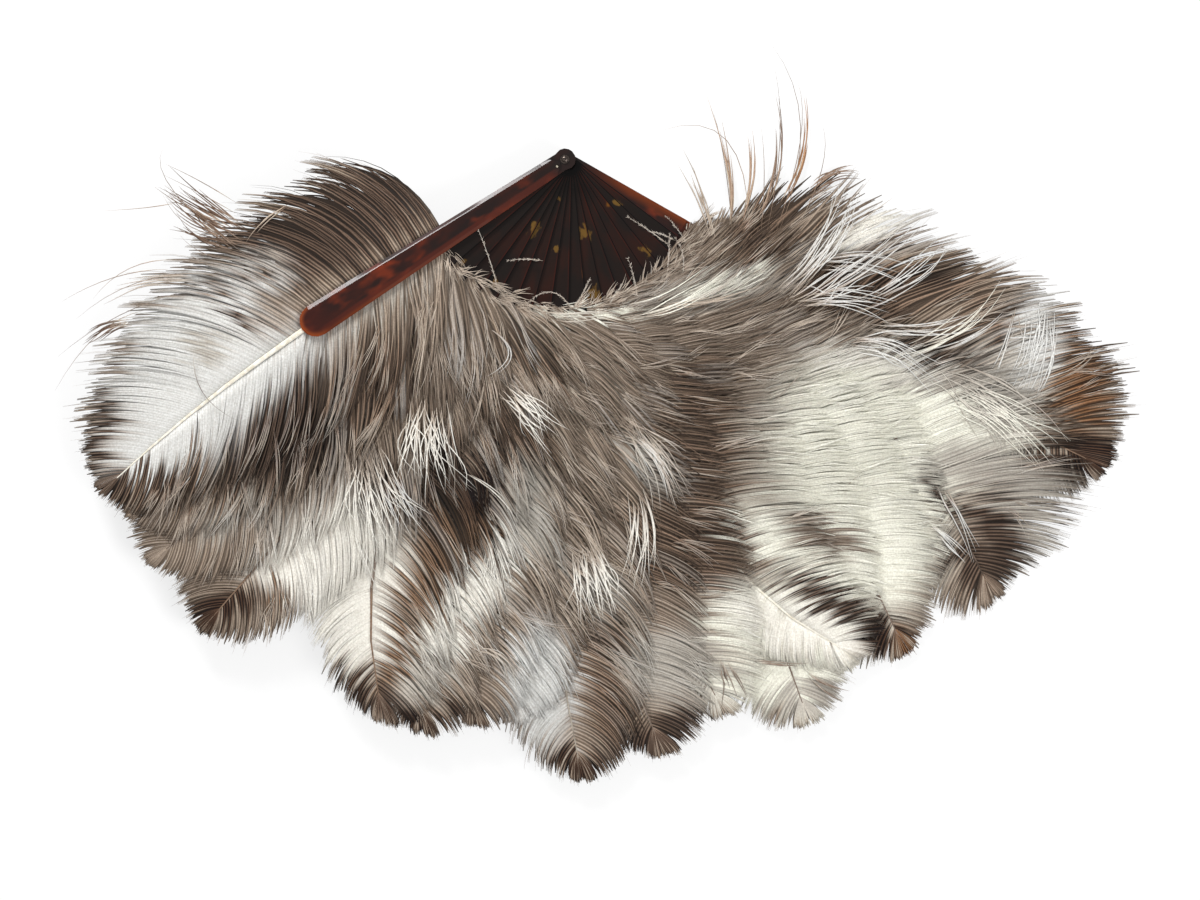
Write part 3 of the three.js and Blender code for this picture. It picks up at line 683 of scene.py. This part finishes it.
def barbule_paths(random, path):
    """Short side hairs along a downy strand."""
    place = random.uniform(0.08, 1, BARBULES)
    roots = np.interp(place, ALONG, path.real) + 1j * np.interp(place, ALONG, path.imag)
    slope = np.gradient(path)
    heading = np.angle(np.interp(place, ALONG, slope.real) + 1j * np.interp(place, ALONG, slope.imag))
    askew = random.choice([-1, 1], BARBULES) * np.radians(random.normal(36, 9, BARBULES))
    length = BARBULE_LENGTH * random.uniform(0.5, 1.1, BARBULES)
    return roots[:, None] + np.outer(length * np.exp(1j * (heading + askew)), ALONG)


def index_over(feathers, points):
    """Index of the plume in whose layer a strand passes over all the sticks that it crosses."""
    places = np.array(points)
    turns = [np.abs(np.angle(places * np.exp(-1j * feather.direction))) for feather in feathers]
    return min(np.argmin(turns, axis=0).max() + 1, LAST)


def loose_barbs(feather, paths, half, whitened):
    """Strands on a plume, thin at both ends, raised off it beyond the sticks."""
    reach = np.abs(paths)
    between_sticks = feather.quill.floor(reach) + OVER_QUILL
    layer = np.where(reach < feather.first, between_sticks, feather.vane.top(reach) - INTO_PLUME)
    free = np.maximum(headroom(feather, paths) - LOOSE_HEIGHT, 0)
    lift = feather.random.uniform(0.8, 1, len(paths))[:, None] * free
    whitened = whitened * feather.random.uniform(0.5, 1.2, len(paths))
    thickness = np.clip(ALONG / 0.2, 0.25, 1) * taper(*LOOSE_TAPER)
    each = np.arange(len(paths))
    return strands(paths, layer + lift, half, min(LOOSE_HEIGHT, half), thickness,
                   each, each, np.ones(len(paths)), whitened)


def loose_strands(feathers):
    """The strays and locks on each plume: paths, half width, shade and share of white."""
    random = np.random.default_rng(SEED)
    held = [[] for _ in feathers]
    for points in STRAYS:
        holder = held[top_index(feathers, points[0] * MM)]
        holder.append((curve(points, ALONG)[None], STRAY_HALF, BROWN, STRAY_WHITENED))
    for points in DOWNY_STRAYS:
        strand = curve(points, ALONG)
        holder = held[index_over(feathers, points)]
        holder.append((strand[None], STRAY_HALF, PALE, STRAY_WHITENED))
        holder.append((barbule_paths(random, strand), BARBULE_HALF, PALE, STRAY_WHITENED))
    for points, count, spread, tone in LOCKS:
        paths = bundle_paths(random, points, count, spread)
        holder = held[top_index(feathers, points[0] * MM)]
        holder.append((paths, LOCK_HALF, tone, 0))
    return held


# Colours of the barbs

def patch_colours(place):
    """The patches' colours at places in mm."""
    colour = np.empty(place.shape + (3,))
    colour[:] = TAUPE
    for tone, centre, half_length, half_breadth, degrees in PATCHES:
        local = (place - centre) * np.exp(-1j * math.radians(degrees))
        distance = np.hypot(local.real / half_length, local.imag / half_breadth)
        cover = np.clip((PATCH_END - distance) / PATCH_FADE, 0, 1)[..., None]
        colour = colour + cover ** 2 * (3 - 2 * cover) * (tone - colour)
    return colour


def barb_colours(feather, barbs, tone=None):
    """Colours along each barb, from the patches or a lock's shade, with painted highlight and shade per line.
    """
    random = feather.random
    count, lines = len(barbs.paths), barbs.line.max() + 1
    run = barbs.paths[:, -1] - barbs.paths[:, 0]
    drift = random.normal(0, LINE_DRIFT, lines)[barbs.line] * run / np.abs(run)
    drift += random.normal(0, BARB_DRIFT, (2, count)).T @ [1, 1j]
    colour = patch_colours(barbs.paths / MM + drift[:, None])
    if tone is not None:
        share = random.uniform(0.75, 1, count)[:, None] * np.clip(ALONG / 0.35, 0.3, 1)
        colour += share[..., None] * (tone - colour)
    colour += (barbs.whitened[:, None] * ALONG)[..., None] * (WHITE - colour)
    # painted highlight: barbs towards the middle of a line turn paler, towards RIDGE
    painted_highlight = barbs.nearness ** 2 * random.uniform(0.35, 0.95, lines)[barbs.line]
    colour += painted_highlight[:, None, None] * np.maximum(np.minimum(RIDGE, 2.2 * colour) - colour, 0)
    # painted shade: darker towards a line's edges and in some lines and locks, less on pale colours
    shadow = np.clip(1.25 - 1.5 * barbs.nearness, 0, 1) + np.abs(random.normal(0, 0.1, lines))[barbs.line]
    shadow += np.abs(random.normal(0, 0.08, barbs.lock.max() + 1))[barbs.lock]
    gap_shade = np.clip(shadow, 0, 0.88)[:, None, None] * (1 - colour.mean(axis=-1, keepdims=True))
    return np.clip(colour * (1 - gap_shade), 0.006, 0.95)


# Meshes

def strand_points(barbs):
    """Corners of roof-shaped sections along each strand."""
    forward = np.gradient(barbs.paths, axis=1)
    across = 1j * forward / np.maximum(np.abs(forward), 1e-9) * barbs.width
    points = np.empty(barbs.paths.shape + (3, 3))
    for corner, (sideways, up) in enumerate(((1, 0), (0, 1), (-1, 0))):
        plan = barbs.paths + sideways * across
        points[:, :, corner] = np.stack([plan.real, plan.imag, barbs.height + up * barbs.rise], axis=-1)
    return points


def strand_faces(count):
    """Closed strands: three faces round each stretch, and a cap at each end."""
    first = np.arange(count)[:, None, None] * RINGS * 3
    ring = np.arange(RINGS - 1)[:, None] * 3
    corner = np.arange(3)
    near, far = first + ring + corner, first + ring + (corner + 1) % 3
    quads = np.stack([near, far, far + 3, near + 3], axis=-1).reshape(-1, 4)
    start = first[:, 0]
    end = start + (RINGS - 1) * 3
    return quads.tolist() + (start + [2, 1, 0]).tolist() + (end + [0, 1, 2]).tolist()


def strand_map(mesh, count):
    """A map with a field for each strand: its length along u, the way round it along v."""
    rows = -(-count // MAP_COLUMNS)
    row, column = np.divmod(np.arange(count), MAP_COLUMNS)
    along = (np.arange(RINGS - 1)[:, None, None] + [0, 0, 1, 1]) / (RINGS - 1)
    around = (np.arange(3)[:, None] + [0, 1, 1, 0]) / 3
    along, around = [part.ravel() for part in np.broadcast_arrays(along, around)]
    fields = []
    for u, v in ((along, around), (np.zeros(3), np.array([2, 1, 0]) / 3), (np.ones(3), np.arange(3) / 3)):
        across = (column[:, None] + 0.08 + 0.84 * u) / MAP_COLUMNS
        upward = (row[:, None] + 0.1 + 0.8 * v) / rows
        fields.append(np.stack([across, upward], axis=-1).reshape(-1, 2))
    mesh.uv_layers.new(name="OFBake").uv.foreach_set("vector", np.concatenate(fields).ravel())


def strand_mesh(name, barbs, colours):
    count = len(barbs.paths)
    mesh = bpy.data.meshes.new(name)
    mesh.from_pydata(strand_points(barbs).reshape(-1, 3).tolist(), [], strand_faces(count))
    mesh.shade_smooth()
    rgba = np.ones((count, RINGS, 3, 4))
    # darker down and painted shade on both sides of each strand's pale ridge
    down = colours * (0.6 + 0.35 * colours.mean(axis=-1, keepdims=True))  # beside the pale ridge
    rgba[..., :3] = np.stack([down, colours, down], axis=2)
    mesh.color_attributes.new("shade", "FLOAT_COLOR", "POINT").data.foreach_set("color", rgba.ravel())
    strand_map(mesh, count)
    return mesh


def joined(groups):
    return SimpleNamespace(**{
        part: np.concatenate([getattr(group, part) for group in groups])
        for part in ("paths", "height", "width", "rise")
    })


def new_object(name, data):
    holder = bpy.data.objects.new(name, data)
    bpy.context.collection.objects.link(holder)
    return holder


def plume(feather, material, held):
    """One plume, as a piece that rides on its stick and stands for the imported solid."""
    groups = [make(feather, side) for make in (vane_barbs, vane_ground) for side in (1, -1)]
    colours = [barb_colours(feather, group) for group in groups]
    extras = [(fluff_paths(feather, groups[0]), LOOSE_HALF, None, 0.5)]
    if feather.index > 0:
        extras.append((base_wisps(feather), LOOSE_HALF, None, 0.3))
    for paths, half, tone, whitened in extras + held:
        groups.append(loose_barbs(feather, paths, half, whitened))
        colours.append(barb_colours(feather, groups[-1], tone))
    mesh = strand_mesh(feather.name + "_barbs", joined(groups), np.concatenate(colours))
    piece = new_object(feather.name + "_barbs", mesh)
    mesh.materials.append(material)
    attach(piece, feather.body)
    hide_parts(feather.name)


# Materials

def new_material(name):
    material = bpy.data.materials.new(name)
    material.use_nodes = True
    tree = material.node_tree
    return material, tree, tree.nodes["Principled BSDF"]


def add(tree, kind, links=None, **settings):
    """Adds a node, sets its properties and links or fills its inputs by name or number."""
    node = tree.nodes.new(kind)
    for key, value in settings.items():
        setattr(node, key, value)
    for key, value in (links or {}).items():
        socket = node.inputs[key]
        if isinstance(value, bpy.types.NodeSocket):
            tree.links.new(value, socket)
        else:
            socket.default_value = value
    return node


def maths(tree, operation, first, second=0.0):
    return add(tree, "ShaderNodeMath", {0: first, 1: second}, operation=operation).outputs[0]


def times(tree, first, second):
    return maths(tree, "MULTIPLY", first, second)


def length_of(tree, vector):
    return add(tree, "ShaderNodeVectorMath", {0: vector}, operation="LENGTH").outputs["Value"]


def own_place(tree):
    return add(tree, "ShaderNodeTexCoord").outputs["Object"]


def ramp(tree, value, low, high, start=0.0, end=1.0):
    """Value from low to high, as start to end, and no further."""
    names = {"Value": value, "From Min": low, "From Max": high, "To Min": start, "To Max": end}
    return add(tree, "ShaderNodeMapRange", names, interpolation_type="SMOOTHSTEP").outputs[0]


def mix(tree, share, first, second, blend="MIX"):
    """Mixes two colours, each a shade or an output."""
    links = {0: share}
    for key, colour in ((6, first), (7, second)):
        links[key] = colour if isinstance(colour, bpy.types.NodeSocket) else (*colour, 1)
    return add(tree, "ShaderNodeMix", links, data_type="RGBA", blend_type=blend).outputs[2]


def painted(tree, base, layers):
    """Lays shades over a colour."""
    for cover, tone in layers:
        base = mix(tree, cover, base, tone)
    return base


def noise(tree, place, scale, detail=2.0, seed=0.0):
    links = {"Vector": place, "W": seed, "Scale": scale, "Detail": detail}
    return add(tree, "ShaderNodeTexNoise", links, noise_dimensions="4D").outputs["Fac"]


def grained(tree, local, waves, detail, seed):
    """Noise with so many waves to a metre along and across a blade."""
    links = {"Vector": local, "Scale": (*waves, waves[1])}
    return noise(tree, add(tree, "ShaderNodeMapping", links).outputs[0], 1.0, detail, seed)


def set_surface(tree, surface, colour, roughness, specular=0.5):
    tree.links.new(colour, surface.inputs["Base Color"])
    tree.links.new(roughness, surface.inputs["Roughness"])
    surface.inputs["Specular IOR Level"].default_value = specular


def feather_material():
    material, tree, surface = new_material("feather_barbs")
    colour = add(tree, "ShaderNodeAttribute", attribute_name="shade").outputs["Color"]
    down = ramp(tree, noise(tree, own_place(tree), FINE_WAVES, 3), 0.3, 0.7)
    tinted = mix(tree, down, mix(tree, 1.0, colour, (0.8, 0.78, 0.76), "MULTIPLY"), colour)
    set_surface(tree, surface, tinted, ramp(tree, down, 0, 1, 0.6, 0.85), 0.1)
    surface.inputs["Sheen Weight"].default_value = 0.03
    return material


def quill_material(feather):
    """Streaky horn, as brown as the down where the quill is covered."""
    material, tree, surface = new_material(f"quill_horn_{feather.index:02d}")
    shown, horn = QUILLS_SHOWN.get(feather.index, HIDDEN_QUILL)
    place = own_place(tree)
    streak = noise(tree, place, 260, 4)
    start = feather.last - shown * MM
    deep = ramp(tree, streak, 0.35, 0.7)
    bare = ramp(tree, length_of(tree, place), start - HORN_FADE, start + HORN_FADE)
    base = mix(tree, bare, mix(tree, deep, *HIDDEN_HORN), mix(tree, deep, *horn))
    set_surface(tree, surface, base, ramp(tree, streak, 0.2, 0.8, 0.45, 0.7), 0.12)
    return material


def blade_degrees(name):
    """The direction of a stick or guard, from the points at its far end."""
    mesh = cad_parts[name].data
    places = np.array([complex(*vertex.co.xy) for vertex in mesh.vertices])
    reach = np.abs(places)
    return math.degrees(np.angle(places[reach > reach.max() - 5 * MM].mean()))


def blade_place(tree, degrees, neck, end, length):
    """Coordinates along and across a stick or guard, and the distance to its edge."""
    links = {"Vector": own_place(tree), "Angle": math.radians(-degrees)}
    local = add(tree, "ShaderNodeVectorRotate", links, rotation_type="Z_AXIS").outputs[0]
    x, y, _ = add(tree, "ShaderNodeSeparateXYZ", {0: local}).outputs
    straight = length - end / 2
    beyond = maths(tree, "MAXIMUM", maths(tree, "SUBTRACT", x, straight), 0)
    linear = {"Value": x, "From Min": 0.0, "From Max": straight, "To Min": neck / 2, "To Max": end / 2}
    half = add(tree, "ShaderNodeMapRange", linear).outputs[0]
    squares = maths(tree, "ADD", maths(tree, "POWER", beyond, 2.0), maths(tree, "POWER", y, 2.0))
    edge = maths(tree, "SUBTRACT", half, maths(tree, "SQRT", squares))
    return local, x, y, edge


def amber_cover(tree, local, degrees, grain):
    """Cover of one stick's amber spots, broken up by its grain."""
    cover = 0.0
    for centre, half_length, half_breadth in AMBER_SPOTS:
        spot = centre * np.exp(-1j * math.radians(degrees)) * MM
        if abs(spot.imag) < STICK_END_WIDTH / 2:
            scale = (1 / (half_length * MM), 1 / (half_breadth * MM), 0)
            shift = (-spot.real * scale[0], -spot.imag * scale[1], 0)
            links = {"Vector": local, "Location": shift, "Scale": scale}
            distance = length_of(tree, add(tree, "ShaderNodeMapping", links).outputs[0])
            broken = maths(tree, "SUBTRACT", distance, times(tree, grain, 3.0))
            cover = maths(tree, "MAXIMUM", cover, ramp(tree, broken, -1.0, -0.3, 0.8, 0))
    return cover


def stick_material(index, degrees):
    """Dark polished shell with amber flecks, a red glow inside a black edge of painted gap shade."""
    material, tree, surface = new_material(f"stick_shell_{index:02d}")
    local, _, _, edge = blade_place(tree, degrees, STICK_NECK_WIDTH, STICK_END_WIDTH, STICK_LENGTH)
    cloud = grained(tree, local, CLOUD_WAVES, 3, index * 3.7)
    fleck = grained(tree, local, FLECK_WAVES, 2, index * 5.3 + 40)
    grain = grained(tree, local, GRAIN_WAVES, 3, index * 2.1)
    base = mix(tree, ramp(tree, cloud, 0.4, 0.75), STICK_BLACK, STICK_RED)
    base = painted(tree, base, [
        (ramp(tree, fleck, 0.68, 0.8), STICK_FLECK),
        (amber_cover(tree, local, degrees, grain), STICK_AMBER),
        (times(tree, ramp(tree, edge, *STICK_GLOW_RAMP), ramp(tree, cloud, 0.4, 0.6)), STICK_GLOW),
        # painted shade of the gap between sticks
        (ramp(tree, edge, *STICK_GAP_SHADE_RAMP), STICK_GAP_SHADE),
    ])
    set_surface(tree, surface, base, ramp(tree, cloud, 0.2, 0.8, 0.1, 0.2), 0.09)
    return material


def guard_material(name, degrees):
    """Polished shell, nearly black with red clouds and bevel, an amber edge and rim and a dark head."""
    material, tree, surface = new_material(f"{name}_shell")
    inner_side, seed, amber_width, amber_full = GUARDS[name]
    local, x, y, edge = blade_place(tree, degrees, GUARD_NECK_WIDTH, GUARD_END_WIDTH, GUARD_LENGTH)
    cloud = grained(tree, local, GUARD_CLOUD_WAVES, 3, seed)
    glow = grained(tree, local, GUARD_GLOW_WAVES, 2, seed + 20)
    inner = ramp(tree, times(tree, y, inner_side), *SIDE_RAMP)
    amber = ramp(tree, edge, 0.2 * MM, amber_width, 0.85, 0)
    amber = times(tree, amber, ramp(tree, y, *SIDE_RAMP))
    base = mix(tree, ramp(tree, cloud, 0.46, 0.72), GUARD_BLACK, GUARD_RED)
    base = painted(tree, base, [
        (ramp(tree, glow, 0.5, 0.9), GUARD_GLOW),
        (times(tree, ramp(tree, edge, *BEVEL_RAMP), inner), GUARD_BEVEL),
        (times(tree, amber, ramp(tree, x, 10 * MM, amber_full)), GUARD_AMBER),
        (ramp(tree, x, *END_RAMP), GUARD_END),
        (times(tree, ramp(tree, edge, *RIM_RAMP), ramp(tree, x, *RIM_FROM)), GUARD_RIM),
        (ramp(tree, x, *HEAD_RAMP), GUARD_HEAD),
    ])
    worn = times(tree, ramp(tree, x, *WORN_FROM), ramp(tree, x, *WORN_TO))
    dull = ramp(tree, times(tree, ramp(tree, edge, *POLISH_RAMP), worn), 0, 1, 0.1, 0.5)
    rough = maths(tree, "MAXIMUM", dull, ramp(tree, cloud, 0.2, 0.8, 0.08, 0.2))
    set_surface(tree, surface, base, rough, 0.14)
    return material


def metal_material(name, dull, bright):
    material, tree, surface = new_material(name)
    wear = noise(tree, own_place(tree), FINE_WAVES, 3)
    base = mix(tree, ramp(tree, wear, 0.3, 0.7), dull, bright)
    set_surface(tree, surface, base, ramp(tree, wear, 0.2, 0.8, 0.22, 0.42))
    surface.inputs["Metallic"].default_value = 1
    return material


def dress(name, material):
    """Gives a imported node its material."""
    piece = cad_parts[name]
    piece.data.materials.clear()
    piece.data.materials.append(material)


# Stage

def seen_directly(tree):
    """1 for what the camera sees itself, in a mirror or through glass."""
    path = add(tree, "ShaderNodeLightPath").outputs
    direct = maths(tree, "MAXIMUM", path["Is Camera Ray"], path["Is Glossy Ray"])
    return maths(tree, "MAXIMUM", direct, path["Is Transmission Ray"])


def make_floor():
    corners = [(-1, -1), (1, -1), (1, 1), (-1, 1)]
    mesh = bpy.data.meshes.new("floor")
    mesh.from_pydata([(x * FLOOR_HALF, y * FLOOR_HALF, -FLOOR_DEPTH) for x, y in corners], [], [(0, 1, 2, 3)])
    floor = new_object("floor", mesh)
    material, tree, surface = new_material("floor_white")
    surface.inputs["Base Color"].default_value = (FLOOR_LEVEL, FLOOR_LEVEL, FLOOR_LEVEL, 1)
    surface.inputs["Roughness"].default_value = 0.9
    glow = add(tree, "ShaderNodeEmission").outputs[0]
    share = times(tree, seen_directly(tree), ramp(tree, length_of(tree, own_place(tree)), *FLOOR_GLOW))
    mixed = add(tree, "ShaderNodeMixShader", {0: share, 1: surface.outputs[0], 2: glow})
    tree.links.new(mixed.outputs[0], tree.nodes["Material Output"].inputs["Surface"])
    mesh.materials.append(material)


def make_world():
    world = bpy.data.worlds.new("studio")
    world.use_nodes = True
    tree = world.node_tree
    background = tree.nodes["Background"]
    background.inputs["Color"].default_value = (1, 1, 1, 1)
    tree.links.new(ramp(tree, seen_directly(tree), 0, 1, WORLD_LEVEL, 1.0), background.inputs["Strength"])
    bpy.context.scene.world = world


def make_lamp(name, place, size, power):
    """A round lamp that faces the middle of the picture."""
    lamp = bpy.data.lights.new(name, "AREA")
    lamp.shape = "DISK"
    lamp.size = size
    lamp.energy = power
    holder = new_object(name, lamp)
    holder.location = place
    x, y, z = np.array((*CENTRE, 0)) - np.array(place)
    holder.rotation_euler = (math.atan2(math.hypot(x, y), -z), 0, math.atan2(y, x) - math.pi / 2)


def make_camera():
    camera = bpy.data.cameras.new("camera")
    camera.sensor_width = SENSOR
    camera.lens = SENSOR * CAMERA_DISTANCE / PICTURE_WIDTH
    holder = new_object("camera", camera)
    holder.location = (*CENTRE, PICTURE_HEIGHT_Z + CAMERA_DISTANCE)
    bpy.context.scene.camera = holder


# The fan, and what stands round it

feather_look = feather_material()
feathers = [feather_of(index) for index in range(LAST + 1)]
for feather, above in zip(feathers, feathers[1:]):
    feather.above = above.vane
for feather, held in zip(feathers, loose_strands(feathers)):
    plume(feather, feather_look, held)
    dress(f"quill_{feather.index:02d}", quill_material(feather))
    degrees = blade_degrees(feather.body)
    if feather.body in GUARDS:
        dress(feather.body, guard_material(feather.body, degrees))
    else:
        dress(feather.body, stick_material(feather.index, degrees))
dark_metal = metal_material("rivet_metal", shade(46, 40, 38), shade(84, 76, 70))
for name in ("rivet", "rear_washer", "front_washer"):
    dress(name, dark_metal)
dress("guard_pin", metal_material("pin_metal", shade(170, 160, 140), shade(214, 206, 188)))
make_floor()
make_world()
make_lamp("key", *KEY_LAMP)
make_lamp("fill", *FILL_LAMP)
make_camera()
bpy.context.scene.view_settings.view_transform = "Standard"
